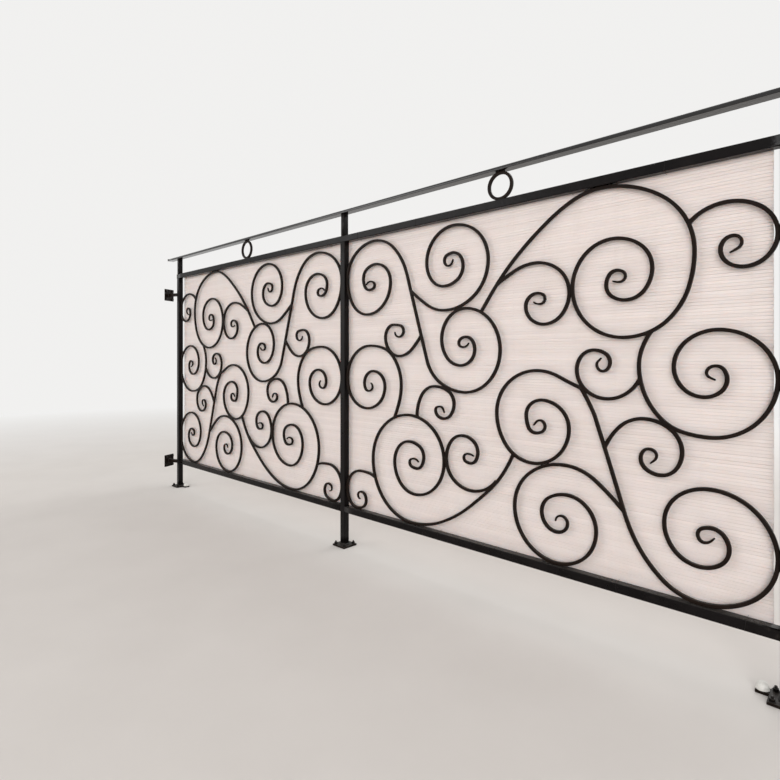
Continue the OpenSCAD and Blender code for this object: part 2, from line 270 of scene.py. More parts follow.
post_low, post_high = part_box("right_post")
PITCH = (post_low.x + post_high.x) / 2 / MM
POST = (post_high.x - post_low.x) / MM
PANEL_LOW, PANEL_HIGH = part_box("right_bottom_rail")[1].z / MM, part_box("top_rail")[0].z / MM
ring_low, ring_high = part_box("right_ring")
BAR = (ring_high.y - ring_low.y) / MM
BAY_X, BAY_Z = PITCH / 2, (PANEL_LOW + PANEL_HIGH) / 2
SPREAD_X = (PITCH - POST - BAR) / 2 / max(abs(x) for x, y, heading in SCROLLS["s_scroll"])
SPREAD_Z = (PANEL_HIGH - PANEL_LOW - BAR) / 2 / max(abs(y) for x, y, heading in SCROLLS["root_scroll"])
PATHS = {name: bar_path(points) for name, points in SCROLLS.items()}


# Materials

def material(name):
    """New material, its tree, and its surface shader."""
    made = bpy.data.materials.new(name)
    made.use_nodes = True
    tree = made.node_tree
    return made, tree, tree.nodes["Principled BSDF"]


def node(tree, kind, **settings):
    """New node with its settings."""
    made = tree.nodes.new(kind)
    for key, value in settings.items():
        setattr(made, key, value)
    return made


def noise(tree, place, scale, detail=3.0, rough=0.5):
    """Fractal noise at a place."""
    made = node(tree, "ShaderNodeTexNoise")
    made.inputs["Scale"].default_value = scale
    made.inputs["Detail"].default_value = detail
    made.inputs["Roughness"].default_value = rough
    tree.links.new(place, made.inputs["Vector"])
    return made.outputs["Fac"]


def ranged(tree, value, low, high, to_low=0.0, to_high=1.0):
    """Value carried from one range over to another, and kept inside it."""
    made = node(tree, "ShaderNodeMapRange")
    tree.links.new(value, made.inputs["Value"])
    for key, number in (("From Min", low), ("From Max", high), ("To Min", to_low), ("To Max", to_high)):
        made.inputs[key].default_value = number
    return made.outputs["Result"]


def mixed(tree, share, first, second):
    """Colour mix of two colours or sockets."""
    made = node(tree, "ShaderNodeMix", data_type="RGBA")
    tree.links.new(share, made.inputs["Factor"])
    for key, value in (("A", first), ("B", second)):
        socket = [s for s in made.inputs if s.name == key and s.type == "RGBA"][0]
        if isinstance(value, tuple):
            socket.default_value = (*value, 1)
        else:
            tree.links.new(value, socket)
    return [s for s in made.outputs if s.type == "RGBA"][0]


def maths(tree, operation, first, second=None):
    """Result of an operation on sockets or numbers."""
    made = node(tree, "ShaderNodeMath", operation=operation)
    for i, value in enumerate((first, second)):
        if value is None:
            continue
        if isinstance(value, (int, float)):
            made.inputs[i].default_value = value
        else:
            tree.links.new(value, made.inputs[i])
    return made.outputs[0]


def bumped(tree, shader, heights):
    """Bump from several (height, distance) pairs."""
    normal = None
    for height, distance in heights:
        made = node(tree, "ShaderNodeBump")
        made.inputs["Distance"].default_value = distance
        made.inputs["Strength"].default_value = 1.0
        tree.links.new(height, made.inputs["Height"])
        if normal:
            tree.links.new(normal, made.inputs["Normal"])
        normal = made.outputs["Normal"]
    tree.links.new(normal, shader.inputs["Normal"])


# The first colour pales the faces that point up: partly dust, partly painted light on the lit tops
DUST_AND_TOP_LIGHT, BARE_EDGE, RUST = (0.092, 0.085, 0.077), (0.05, 0.042, 0.036), (0.07, 0.028, 0.012)


def iron_paint(name, dark, worn, rust_from, smooth, rough, specular):
    """Satin black paint with faded patches, dust and painted light on what faces up, rubbed edges and
    specks of rust.
    """
    made, tree, shader = material(name)
    geometry = node(tree, "ShaderNodeNewGeometry")
    place = geometry.outputs["Position"]
    patches = ranged(tree, noise(tree, place, 14, 4, 0.6), 0.35, 0.7)
    colour = mixed(tree, patches, dark, worn)
    up = node(tree, "ShaderNodeSeparateXYZ")
    tree.links.new(geometry.outputs["Normal"], up.inputs[0])
    # Faces that point up are paled by a patchy share: partly settled dust, partly painted light on the lit
    # tops
    facing_up = ranged(tree, up.outputs["Z"], 0.55, 0.95)
    dust_and_light_share = ranged(tree, noise(tree, place, 35, 5, 0.65), 0.3, 0.75, 0.15, 0.55)
    dust_and_lit_tops = maths(tree, "MULTIPLY", facing_up, dust_and_light_share)
    colour = mixed(tree, dust_and_lit_tops, colour, DUST_AND_TOP_LIGHT)
    edges = ranged(tree, geometry.outputs["Pointiness"], 0.53, 0.6)
    rubbed = maths(tree, "MULTIPLY", edges, ranged(tree, noise(tree, place, 60, 4, 0.7), 0.52, 0.68))
    colour = mixed(tree, maths(tree, "MULTIPLY", rubbed, 0.6), colour, BARE_EDGE)
    specks = ranged(tree, noise(tree, place, 210, 5, 0.75), rust_from, rust_from + 0.05)
    rusty = maths(tree, "MULTIPLY", specks, ranged(tree, noise(tree, place, 9, 2), 0.5, 0.62))
    colour = mixed(tree, rusty, colour, RUST)
    tree.links.new(colour, shader.inputs["Base Color"])
    gloss = ranged(tree, noise(tree, place, 25, 4, 0.6), 0.3, 0.7, smooth, rough)
    gloss = maths(tree, "ADD", gloss, maths(tree, "MULTIPLY", maths(tree, "MAXIMUM", dust_and_lit_tops, rusty), 0.4))
    tree.links.new(gloss, shader.inputs["Roughness"])
    shader.inputs["Specular IOR Level"].default_value = specular
    bumped(tree, shader, [
        (noise(tree, place, 90, 3, 0.5), 0.0005),
        (noise(tree, place, 900, 3, 0.6), 0.00012),
        (rusty, 0.0002)])
    return made


REED_PITCH = 9.4


def reed_plastic():
    """Cream reed-type plastic, each reed a little different, with rain marks and fine grain."""
    made, tree, shader = material("cream_reeds")
    geometry = node(tree, "ShaderNodeNewGeometry")
    place = geometry.outputs["Position"]
    dark_reed, light_reed = (0.716, 0.642, 0.616), (0.768, 0.694, 0.668)
    rain_mark, pale_grain = (0.62, 0.55, 0.50), (0.85, 0.79, 0.76)
    axes = node(tree, "ShaderNodeSeparateXYZ")
    tree.links.new(place, axes.inputs[0])
    reed = maths(tree, "FLOOR", maths(tree, "DIVIDE", axes.outputs["Z"], REED_PITCH * MM))
    tint = node(tree, "ShaderNodeTexWhiteNoise", noise_dimensions="1D")
    tree.links.new(reed, tint.inputs["W"])
    colour = mixed(tree, tint.outputs["Value"], dark_reed, light_reed)
    stretched = node(tree, "ShaderNodeMapping")
    stretched.inputs["Scale"].default_value = (9, 1, 0.9)
    tree.links.new(place, stretched.inputs["Vector"])
    marks = ranged(tree, noise(tree, stretched.outputs["Vector"], 1.6, 5, 0.6), 0.46, 0.78, 0, 0.22)
    colour = mixed(tree, marks, colour, rain_mark)
    along = node(tree, "ShaderNodeMapping")
    along.inputs["Scale"].default_value = (4, 160, 160)
    tree.links.new(place, along.inputs["Vector"])
    grain = noise(tree, along.outputs["Vector"], 4, 4, 0.6)
    colour = mixed(tree, ranged(tree, grain, 0.45, 0.75, 0, 0.25), colour, pale_grain)
    tree.links.new(colour, shader.inputs["Base Color"])
    tree.links.new(ranged(tree, grain, 0.3, 0.7, 0.42, 0.6), shader.inputs["Roughness"])
    shader.inputs["Specular IOR Level"].default_value = 0.35
    shader.inputs["Subsurface Weight"].default_value = 0.5
    shader.inputs["Subsurface Radius"].default_value = (1.0, 0.8, 0.65)
    shader.inputs["Subsurface Scale"].default_value = 0.004
    bumped(tree, shader, [(grain, 0.00025)])
    return made


def cap_plastic():
    """Off-white plastic of the caps over the anchors, chalky from the weather."""
    made, tree, shader = material("cap_plastic")
    geometry = node(tree, "ShaderNodeNewGeometry")
    place = geometry.outputs["Position"]
    chalk = noise(tree, place, 120, 4, 0.6)
    colour = mixed(tree, ranged(tree, chalk, 0.35, 0.7), (0.60, 0.585, 0.55), (0.74, 0.725, 0.69))
    tree.links.new(colour, shader.inputs["Base Color"])
    tree.links.new(ranged(tree, chalk, 0.3, 0.7, 0.4, 0.62), shader.inputs["Roughness"])
    bumped(tree, shader, [(noise(tree, place, 700, 2), 0.0001)])
    return made


iron = iron_paint(
    "black_iron_paint", dark=(0.0074, 0.0043, 0.0030), worn=(0.0136, 0.0081, 0.0058),
    rust_from=0.70, smooth=0.32, rough=0.44, specular=0.08)
tube_iron = iron_paint(
    "black_tube_paint", dark=(0.0034, 0.0026, 0.0027), worn=(0.0066, 0.0052, 0.0053),
    rust_from=0.72, smooth=0.11, rough=0.22, specular=0.12)
post_iron = iron_paint(
    "black_post_paint", dark=(0.0040, 0.0032, 0.0032), worn=(0.0076, 0.0060, 0.0060),
    rust_from=0.72, smooth=0.26, rough=0.38, specular=0.12)
handrail_iron = iron_paint(
    "black_handrail_paint", dark=(0.0045, 0.0040, 0.0042), worn=(0.0080, 0.0070, 0.0072),
    rust_from=0.74, smooth=0.06, rough=0.14, specular=0.5)
weld_iron = iron_paint(
    "weld_paint", dark=(0.007, 0.0055, 0.005), worn=(0.014, 0.010, 0.008),
    rust_from=0.62, smooth=0.36, rough=0.5, specular=0.2)
reeds = reed_plastic()
caps = cap_plastic()


# Scroll bars

# Width of a tip, the length over which the bar narrows to it, and how full the bar stays on the way
TIP_W, TIP_LEN, TIP_FULLNESS = 4.7, 110.0, 0.56
# How much thinner a tip is from front to back, and the part of that length over which it thins
TIP_THINNED, THIN_SHARE = 1.8, 0.7
# How much the bar thins at its root, and over which length
ROOT_THINNED, ROOT_LEN = 0.35, 16.0
# Shortest and longest wave, and depth, of the two waves that hammering left in the width
HAMMER_WAVES = ((35, 60, 0.07), (90, 150, 0.09))
# Length before a tip over which those waves fade
HAMMER_FADE = 40
# Room for those waves inside the solid's width, and the gap to its front and back
WAVE_ROOM, DEPTH_ROOM = 0.08, 0.05
BAR_EDGE = 1.5
# Rings of a tip's nose: how far past the last stop, in half widths, and share of its size
NOSE = ((0.3, 0.93), (0.55, 0.78), (0.72, 0.5), (0.78, 0.15))


def half_sizes(run, both_tips, rng):
    """Half width and half depth of a bar at each stop, drawn out to its tips."""
    total = run[-1]
    left = np.minimum(total - run, run) if both_tips else total - run
    width = (TIP_W + (BAR - TIP_W) * np.clip(left / TIP_LEN, 0, 1) ** TIP_FULLNESS) / 2
    depth = np.full(len(run), BAR / 2) - TIP_THINNED * (1 - np.clip(left / (TIP_LEN * THIN_SHARE), 0, 1))
    hammered = 0
    for shortest, longest, size in HAMMER_WAVES:
        length, phase = rng.uniform(shortest, longest), rng.uniform(0, 6.3)
        hammered = hammered + size * np.sin(run / length * 2 * math.pi + phase)
    width = width + hammered * np.clip(left / HAMMER_FADE, 0, 1) - WAVE_ROOM
    if not both_tips:
        depth = depth - ROOT_THINNED * np.clip(1 - run / ROOT_LEN, 0, 1)
    return width, depth - DEPTH_ROOM


def bar_ring(x, y, heading, half_w, half_d):
    """Ring across a bar at a stop, with softened corners."""
    across = step(heading + 90)
    profile = rounded_rectangle(half_w, half_d, min(BAR_EDGE, half_w * 0.6, half_d * 0.6))
    return [(x + w * across[0], d, y + w * across[1]) for w, d in profile]


def nose_rings(stop, half_w, half_d, sign):
    """Rings that close a tip in a blunt nose, past its last stop."""
    x, y, heading = stop
    rings = []
    for reach, share in NOSE:
        nose = np.array([x, y]) + sign * reach * half_w * step(heading)
        rings.append(bar_ring(nose[0], nose[1], heading, half_w * share, half_d * share))
    return rings


def bar_rings(path, both_tips, rng):
    """Rings of a bent bar with softened edges and rounded tips, in bay millimetres."""
    width, depth = half_sizes(run_of(path), both_tips, rng)
    rings = nose_rings(path[0], width[0], depth[0], -1)[::-1] if both_tips else []
    for (x, y, heading), half_w, half_d in zip(path, width, depth):
        rings.append(bar_ring(x, y, heading, half_w, half_d))
    return rings + nose_rings(path[-1], width[-1], depth[-1], 1)


for side_name, side in SIDES:
    for number, (scroll, path) in enumerate(PATHS.items()):
        skin = Skin()
        rng = random.Random(40 + 7 * number + (3 if side < 0 else 0))
        skin.loft(placed(bar_rings(path, scroll == "s_scroll", rng), side))
        small = scroll.endswith("_curl")
        stood_for = f"{side_name}_small_scrolls" if small else f"{side_name}_{scroll}"
        skin.piece(f"{side_name}_{scroll}_bar", iron, [stood_for])


# Weld beads where bars touch each other and the frame

# Half length, half width and half depth of a bead at a root, between two bars, at the frame and at a ring
ROOT_BEAD, TOUCH_BEAD = (5.2, 1.9, 4.2), (6.2, 1.7, 4.0)
FRAME_BEAD, RING_BEAD = (6.5, 2.0, 4.4), (6.5, 2.2, 4.6)
# Widest gaps at which two bars, or a bar and the frame, still have a groove to weld
TOUCH_GAP, FRAME_GAP = 1.4, 1.8
# A bar that comes nearer to the frame than this is welded to it
WELDED_GAP = 0.8
# How far a root's beads stand in from the bar's edge
ROOT_INSET = 0.6
# Beads this near to a root are left to the root's own
ROOT_CLEAR = 40


def blob(skin, centre, heading, halves, side, rng):
    """Lumpy bead in the plane of the bars."""
    along, across = step(heading), step(heading + 90)
    length, width, depth = halves
    lumps = [rng.uniform(0, 6.3) for _ in range(3)]
    slices, corners = 9, 10
    rings = []
    for i in range(slices):
        t = -1 + 2 * (i + 0.5) / slices
        size = math.sqrt(1 - t * t) * (1 + 0.07 * math.sin(9 * t + lumps[0]))
        x, y = np.array(centre) + t * length * along
        ring = []
        for k in range(corners):
            turn = 2 * math.pi * k / corners
            oval = 0.06 * math.sin(2 * turn + lumps[1])
            knobs = 0.04 * math.sin(5 * t + 3 * turn + lumps[2])
            bulge = size * (1 + oval + knobs)
            w, d = width * bulge * math.cos(turn), depth * bulge * math.sin(turn)
            ring.append((x + w * across[0], d, y + w * across[1]))
        rings.append(ring)
    skin.loft(placed(rings, side))


def fine_path(path):
    """The same path with a stop about every 2 mm, so that distances to it are true."""
    run = run_of(path)
    places = np.linspace(0, run[-1], int(run[-1] / 2) + 1)
    return np.stack([np.interp(places, run, path[:, k]) for k in range(3)], 1)


FINE = {name: fine_path(path) for name, path in PATHS.items()}


def nearest(point, path):
    """Distance from a point to a path's stops, and the nearest stop's index."""
    gaps = np.linalg.norm(path[:, :2] - point, axis=1)
    return gaps.min(), int(gaps.argmin())


def stretches(flags):
    """First and last index of each unbroken run of true flags."""
    edges = np.flatnonzero(np.diff(np.concatenate([[0], np.asarray(flags, int), [0]])))
    return [(int(first), int(after) - 1) for first, after in zip(edges[::2], edges[1::2])]


def root_beads():
    """Beads in the two corners of each root: (centre, heading, half sizes)."""
    beads = []
    for name, carrier in CARRIERS.items():
        path, other = FINE[name], FINE[carrier]
        for flank in (1, -1):
            for x, y, heading in path[1:]:
                edge = np.array([x, y]) + flank * BAR / 2 * step(heading + 90)
                gap, at = nearest(edge, other)
                if gap > BAR / 2:
                    lean = wrap(heading - other[at][2])
                    lean = lean if abs(lean) <= 90 else wrap(lean + 180)
                    inward = step(heading - 90) * flank
                    beads.append((edge + ROOT_INSET * inward, heading - lean / 2, ROOT_BEAD))
                    break
    return beads


def touch_beads():
    """Beads in the two grooves beside each place where two bars touch."""
    beads = []
    names = list(PATHS)
    for i, first in enumerate(names):
        for second in names[i + 1:]:
            a, b = FINE[first], FINE[second]
            gaps = np.linalg.norm(a[:, None, :2] - b[None, :, :2], axis=2)
            near, at = gaps.min(axis=1), gaps.argmin(axis=1)
            roots = [a[0][:2] if name == first else b[0][:2] for name in (first, second)
                     if CARRIERS.get(name) in (first, second)]
            for start, end in stretches(near < BAR + TOUCH_GAP):
                middle = start + int(near[start:end + 1].argmin())
                by_root = any(np.linalg.norm(a[k][:2] - root) < ROOT_CLEAR
                              for root in roots for k in (start, middle, end))
                if not by_root:
                    for k in (start, end):
                        beads.append(((a[k][:2] + b[at[k]][:2]) / 2, a[k][2], TOUCH_BEAD))
    return beads


def frame_beads():
    """Beads where a bar touches a post or a rail."""
    beads = []
    reach_x, reach_z = (PITCH - POST) / 2, (PANEL_HIGH - PANEL_LOW) / 2
    for path in FINE.values():
        for axis, limit, heading in ((0, reach_x, 90), (1, reach_z, 0)):
            for sign in (1, -1):
                gap = limit - BAR / 2 - sign * path[:, axis]
                for start, end in stretches(gap < FRAME_GAP):
                    if gap[start:end + 1].min() >= WELDED_GAP:
                        continue
                    for k in (start, end):
                        centre = path[k][:2].copy()
                        centre[axis] = sign * (limit - gap[k] / 2)
                        beads.append((centre, heading, FRAME_BEAD))
    return beads


all_beads = root_beads() + touch_beads() + frame_beads()
for side_name, side in SIDES:
    skin = Skin()
    rng = random.Random(5 if side < 0 else 6)
    for centre, heading, halves in all_beads:
        scaled = tuple(half * rng.uniform(0.85, 1.1) for half in halves)
        blob(skin, centre, heading + rng.uniform(-6, 6), scaled, side, rng)
    skin.piece(f"{side_name}_scroll_welds", weld_iron)


# Tubes of the frame

# Radii of the long edges
TUBE_EDGE, STUB_EDGE = 3.0, 2.5
HANDRAIL_EDGE, HANDRAIL_TOP_EDGE = 1.5, 9.0
# Most length between two rings of a tube
TUBE_STEP = 60
# How far a ring's beads stand in from its top and its foot
RING_INSET = 0.8


def tube_piece(name, cad_node, axis, radius, paint=tube_iron, top_radius=None):
    """Bar with rounded long edges in the box of a CAD tube, along axis 0 for X or 2 for Z."""
    low, high = (np.array(corner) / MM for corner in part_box(cad_node))
    middle, half = (low + high) / 2, (high - low) / 2
    first, second = (k for k in range(3) if k != axis)
    profile = rounded_rectangle(half[first], half[second], radius, 6 if top_radius else 4, top_radius)
    count = max(2, int(2 * half[axis] / TUBE_STEP))
    rings = []
    for i in range(count + 1):
        ring = np.zeros((len(profile), 3))
        ring[:, first] = middle[first] + profile[:, 0]
        ring[:, second] = middle[second] + profile[:, 1]
        ring[:, axis] = low[axis] + 2 * half[axis] * i / count
        rings.append(ring)
    skin = Skin()
    skin.loft(rings)
    skin.piece(name, paint, [cad_node])


for place, _ in PLACES:
    tube_piece(f"{place}_post_tube", f"{place}_post", 2, TUBE_EDGE, post_iron)
    tube_piece(f"{place}_stub_tube", f"{place}_stub", 2, STUB_EDGE, post_iron)
for side_name, _ in SIDES:
    tube_piece(f"{side_name}_bottom_rail_tube", f"{side_name}_bottom_rail", 0, TUBE_EDGE)
tube_piece("top_rail_tube", "top_rail", 0, TUBE_EDGE)
tube_piece("handrail_tube", "handrail", 0, HANDRAIL_EDGE, handrail_iron, HANDRAIL_TOP_EDGE)


def ring_piece(side_name, side):
    """Ring of bar with softened edges between the top rail and the handrail, with its welds."""
    low, high = (np.array(corner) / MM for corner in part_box(f"{side_name}_ring"))
    middle, outer = (low + high) / 2, (high[0] - low[0]) / 2
    profile = rounded_rectangle(BAR / 2, BAR / 2, BAR_EDGE)
    reach, stops = outer - BAR / 2, 96
    rings = []
    for i in range(stops):
        turn = 2 * math.pi * i / stops
        rings.append([(middle[0] + (reach + w) * math.cos(turn), middle[1] + d,
                       middle[2] + (reach + w) * math.sin(turn)) for w, d in profile])
    skin = Skin()
    skin.loft(rings, loop=True)
    skin.piece(f"{side_name}_ring_bar", iron, [f"{side_name}_ring"])
    beads = Skin()
    rng = random.Random(60 + side)
    groove = math.sqrt(2 * outer * FRAME_GAP)
    for up in (1, -1):
        for across in (1, -1):
            centre = (across * groove, middle[2] + up * (outer - RING_INSET) - BAY_Z)
            blob(beads, centre, rng.uniform(-4, 4), RING_BEAD, side, rng)
    beads.piece(f"{side_name}_ring_welds", weld_iron)


for side_name, side in SIDES:
    ring_piece(side_name, side)


# Plates that stay as packed, with softened edges

LEVELS = ("upper", "lower")
BASE_PLATES = [f"{place}_base_plate" for place, _ in PLACES]
WALL_BRACKETS = [f"{side_name}_{level}_wall_bracket" for side_name, _ in SIDES for level in LEVELS]
# Width of their softened edges, and how near two corners are joined first
PLATE_EDGE, PLATE_JOIN = 0.9, 0.02


def soften_plate(plate):
    """Paints a packed plate and softens its edges."""
    plate.data.materials.clear()
    plate.data.materials.append(iron)
    joined = plate.modifiers.new("joined", "WELD")
    joined.merge_threshold = PLATE_JOIN * MM
    softened = plate.modifiers.new("softened", "BEVEL")
    softened.width = PLATE_EDGE * MM
    softened.segments = 2
    softened.limit_method = "ANGLE"
    softened.angle_limit = math.radians(40)
    plate.modifiers.new("even_shading", "WEIGHTED_NORMAL")


for name in [*BASE_PLATES, "end_caps", *WALL_BRACKETS]:
    soften_plate(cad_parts[name])


# Weld seams round the feet of the posts and the ends of the bracket arms

# Legs of the seams, and the step between the rings along one
FOOT_LEG, ARM_LEG, SEAM_STEP = 4.2, 3.4, 1.2


def seam(skin, half_w, half_d, leg, to_world, rng):
    """Weld seam round a tube, with its legs on the tube and on the plate at height 0."""
    corners = rounded_rectangle(half_w, half_d, TUBE_EDGE, 4)
    loop = []
    for (x0, y0), (x1, y1) in zip(corners, np.roll(corners, -1, axis=0)):
        steps = max(1, int(math.hypot(x1 - x0, y1 - y0) / SEAM_STEP))
        for i in range(steps):
            loop.append((x0 + (x1 - x0) * i / steps, y0 + (y1 - y0) * i / steps))
    loop = np.array(loop)
    outward = np.roll(loop, -1, axis=0) - np.roll(loop, 1, axis=0)
    outward = np.stack([outward[:, 1], -outward[:, 0]], 1)
    outward /= np.linalg.norm(outward, axis=1)[:, None]
    rings = []
    for i, ((x, y), (nx, ny)) in enumerate(zip(loop, outward)):
        size = leg * (1 + 0.1 * math.sin(i * 1.9) + rng.uniform(-0.07, 0.07))
        # (out from the tube, up from the plate), sunk a little into both
        section = ((-0.8, -0.4), (size, -0.4), (size * 0.72, size * 0.34), (size * 0.36, size * 0.7),
                   (-0.1, size), (-0.8, size))
        rings.append([to_world(x + nx * out, y + ny * out, up) for out, up in section])
    skin.loft(rings, loop=True)


base_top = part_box("middle_base_plate")[1].z / MM
for place, sign in PLACES:
    skin = Skin()
    seam(skin, POST / 2, POST / 2, FOOT_LEG,
         lambda x, y, z, sign=sign: (sign * PITCH + x, y, base_top + z), random.Random(20 + sign))
    skin.piece(f"{place}_foot_weld", weld_iron)


# Bolts, nuts and washers

# (radius, height) of a washer, and sizes of the nuts and heads on it
WASHER = ((8.2, 0), (8.2, 1.2), (7.9, 1.6), (3, 1.6))
WASHER_T, FLATS, NUT_TOP, HEAD_TOP = 1.6, 13, 8.2, 7.0
# Crest and root of a stud's thread, its pitch and its number of turns
THREAD_CREST, THREAD_ROOT, THREAD_PITCH, THREAD_TURNS = 3.9, 3.4, 1.1, 5
# Skirt of the cap over an anchor, and the radius, foot and height of its dome
CAP_SKIRT = ((16.4, 0), (16.4, 2.0), (16.1, 2.5), (15.5, 2.7), (15.4, 3.0))
DOME_R, DOME_LOW, DOME_RISE = 15.3, 7.5, 13.5
# Bolt holes in the floor plates, and the anchor in an end plate's lug, from the post's middle
HOLE, LUG_X, LUG_Y = 29.0, 57.0, 17.0
# Length and side of a wall bracket's arm, its turn from the railing's line, and the holes in its plate
ARM, ARM_SIDE, ARM_TURN, WALL_HOLE = 85.0, 20.0, math.radians(-22), 28.0


def lathe(skin, profile, to_world, count=24):
    """Round shape from (radius, height) pairs, closed at both ends."""
    turns = [2 * math.pi * k / count for k in range(count)]
    skin.loft([[to_world(radius * math.cos(turn), radius * math.sin(turn), height) for turn in turns]
               for radius, height in profile])


def hexagon(skin, flats, low, high, to_world, turn):
    """Six-sided nut or head with its corners cut back on top."""
    count, half = 48, flats / 2
    columns = []
    for k in range(count):
        angle = 2 * math.pi * k / count
        folded = (angle + math.pi / 6) % (math.pi / 3) - math.pi / 6
        radius = half / math.cos(folded)
        drop = (radius - half * 0.97) * 0.58
        levels = ((radius, low), (radius, high - drop), (half * 0.93, high), (half * 0.55, high))
        c, s = math.cos(angle + turn), math.sin(angle + turn)
        columns.append([to_world(r * c, r * s, z) for r, z in levels])
    skin.loft(np.swapaxes(columns, 0, 1))


def bolt_head(skin, top, to_world, rng):
    """Washer and six-sided nut or head up to a height, standing on height 0."""
    lathe(skin, WASHER, to_world)
    hexagon(skin, FLATS, WASHER_T, top, to_world, rng.uniform(0, 1))


def anchor(skin, to_world, rng):
    """Washer, nut and stud end of an anchor, standing on height 0."""
    bolt_head(skin, NUT_TOP, to_world, rng)
    thread = [(3.7, 7.5)]
    for i in range(THREAD_TURNS):
        thread += [(THREAD_CREST, 8.4 + THREAD_PITCH * i), (THREAD_ROOT, 8.95 + THREAD_PITCH * i)]
    thread += [(3.3, 14.1), (2.4, 14.5)]
    lathe(skin, thread, to_world, 16)


def floor_bolts(place, sign):
    """The four anchors of a post's floor plate."""
    skin = Skin()
    rng = random.Random(30 + sign)
    for x in (-HOLE, HOLE):
        for y in (-HOLE, HOLE):
            anchor(skin, lambda a, b, c, x=x, y=y: (sign * PITCH + x + a, y + b, base_top + c), rng)
    skin.piece(f"{place}_floor_bolts", weld_iron)


def anchor_cap(place, sign):
    """Domed cap over the anchor in the lug of an end post's floor plate."""
    profile = list(CAP_SKIRT)
    for i in range(10):
        rise = math.radians(90 * i / 10)
        profile.append((DOME_R * math.cos(rise), DOME_LOW + DOME_RISE * math.sin(rise)))
    profile.append((0.6, DOME_LOW + DOME_RISE))
    skin = Skin()
    lathe(skin, profile, lambda a, b, c: (sign * (PITCH - LUG_X) + a, LUG_Y + b, base_top + c), 40)
    skin.piece(f"{place}_anchor_cap", caps)


def wall_fixing(side_name, side, level):
    """Bolts of a wall plate, and the weld seam where the arm meets it."""
    low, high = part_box(f"{side_name}_{level}_wall_bracket")
    height = (low.z + high.z) / 2 / MM

    def on_plate(a, b, c):
        """Point a across, b up and c out from the wall plate's inner face."""
        x = (ARM - c) * math.cos(ARM_TURN) - a * math.sin(ARM_TURN)
        y = (ARM - c) * math.sin(ARM_TURN) + a * math.cos(ARM_TURN)
        return side * (PITCH + POST / 2 + x), y, height + b

    skin = Skin()
    rng = random.Random(f"{side_name} {level}")
    for a in (-WALL_HOLE, WALL_HOLE):
        for b in (-WALL_HOLE, WALL_HOLE):
            bolt_head(skin, HEAD_TOP, lambda p, q, r, a=a, b=b: on_plate(a + p, b + q, r), rng)
    skin.piece(f"{side_name}_{level}_wall_bolts", weld_iron)
    skin = Skin()
    seam(skin, ARM_SIDE / 2, ARM_SIDE / 2, ARM_LEG, on_plate, rng)
    skin.piece(f"{side_name}_{level}_wall_weld", weld_iron)


for place, sign in PLACES:
    floor_bolts(place, sign)
    if sign:
        anchor_cap(place, sign)
for side_name, side in SIDES:
    for level in LEVELS:
        wall_fixing(side_name, side, level)


# Reed screens

# Half depth of a reed, and the exponents that flatten its section across and from front to back
REED_DEEP, FLAT_ACROSS, FLAT_DEEP = 2.1, 0.4, 0.26
# Threads of a screen, their radius, how far they pass before and behind the reeds, and the two strands' gap
THREADS, THREAD_R, THREAD_OUT, THREAD_GAP = 14, 0.35, 2.5, 0.9


def circle(count):
    """Angles of evenly spaced corners round a circle."""
    return np.linspace(0, 2 * math.pi, count, endpoint=False)


def reed_rings(low, high, z, rng):
    """Rings along one reed, which leans and sways a little."""
    lean, shift, phase = rng.uniform(-0.07, 0.07), rng.uniform(-0.4, 0.4), rng.uniform(0, 6.3)
    tall = REED_PITCH / 2 * rng.uniform(0.985, 1.0)
    ends = (rng.uniform(0, 0.8), rng.uniform(0, 0.8))
    deep = (low[1] + high[1]) / 2
    section = []
    for turn in circle(16) + math.pi / 16:
        c, s = math.cos(turn), math.sin(turn)
        w = tall * math.copysign(abs(c) ** FLAT_ACROSS, c)
        d = REED_DEEP * math.copysign(abs(s) ** FLAT_DEEP, s)
        section.append((d * math.cos(lean) - w * math.sin(lean), w * math.cos(lean) + d * math.sin(lean)))
    rings = []
    for t in np.linspace(0, 1, 27):
        x = low[0] + ends[0] + (high[0] - low[0] - ends[0] - ends[1]) * t
        sway = 0.22 * math.sin(9 * t + phase)
        rings.append([(x, deep + shift + sway * 0.6 + d, z + sway * 0.5 + w) for d, w in section])
    return rings


def thread_rings(x, deep, heights, phase):
    """Rings along one strand of a thread, woven before and behind the reeds at these heights."""
    rings = []
    for i, z in enumerate(heights):
        out = THREAD_OUT if (i + phase) % 2 else -THREAD_OUT
        for rise, share in ((-0.28, 1.0), (0.28, 1.0), (0.5, 0.0)):
            rings.append([(x + THREAD_GAP * phase + THREAD_R * math.cos(k * math.pi / 2),
                           deep + out * share + THREAD_R * math.sin(k * math.pi / 2),
                           z + REED_PITCH * rise) for k in range(4)])
    return rings


def screen_piece(side_name, side):
    """Mat of flattened reeds held by threads, in the box of its sheet."""
    low, high = (np.array(corner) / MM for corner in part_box(f"{side_name}_screen"))
    rng = random.Random(70 + side)
    count = int((high[2] - low[2]) / REED_PITCH)
    spare = (high[2] - low[2] - count * REED_PITCH) / 2
    heights = [low[2] + spare + REED_PITCH * (i + 0.5) for i in range(count)]
    skin = Skin()
    for z in heights:
        skin.loft(reed_rings(low, high, z, rng))
    skin.piece(f"{side_name}_reed_screen", reeds, [f"{side_name}_screen"])
    twine = Skin()
    for i in range(THREADS):
        x = low[0] + (high[0] - low[0]) * (0.03 + 0.94 * i / (THREADS - 1))
        for phase in (0, 1):
            twine.loft(thread_rings(x, (low[1] + high[1]) / 2, heights, phase))
    twine.piece(f"{side_name}_screen_threads", reeds)


for side_name, side in SIDES:
    screen_piece(side_name, side)


# Wire ties that hold the screens to the rails

# Radius of the wire, and of the bends where it goes round the rail and the screen
WIRE, WIRE_BEND = 0.4, 3.5
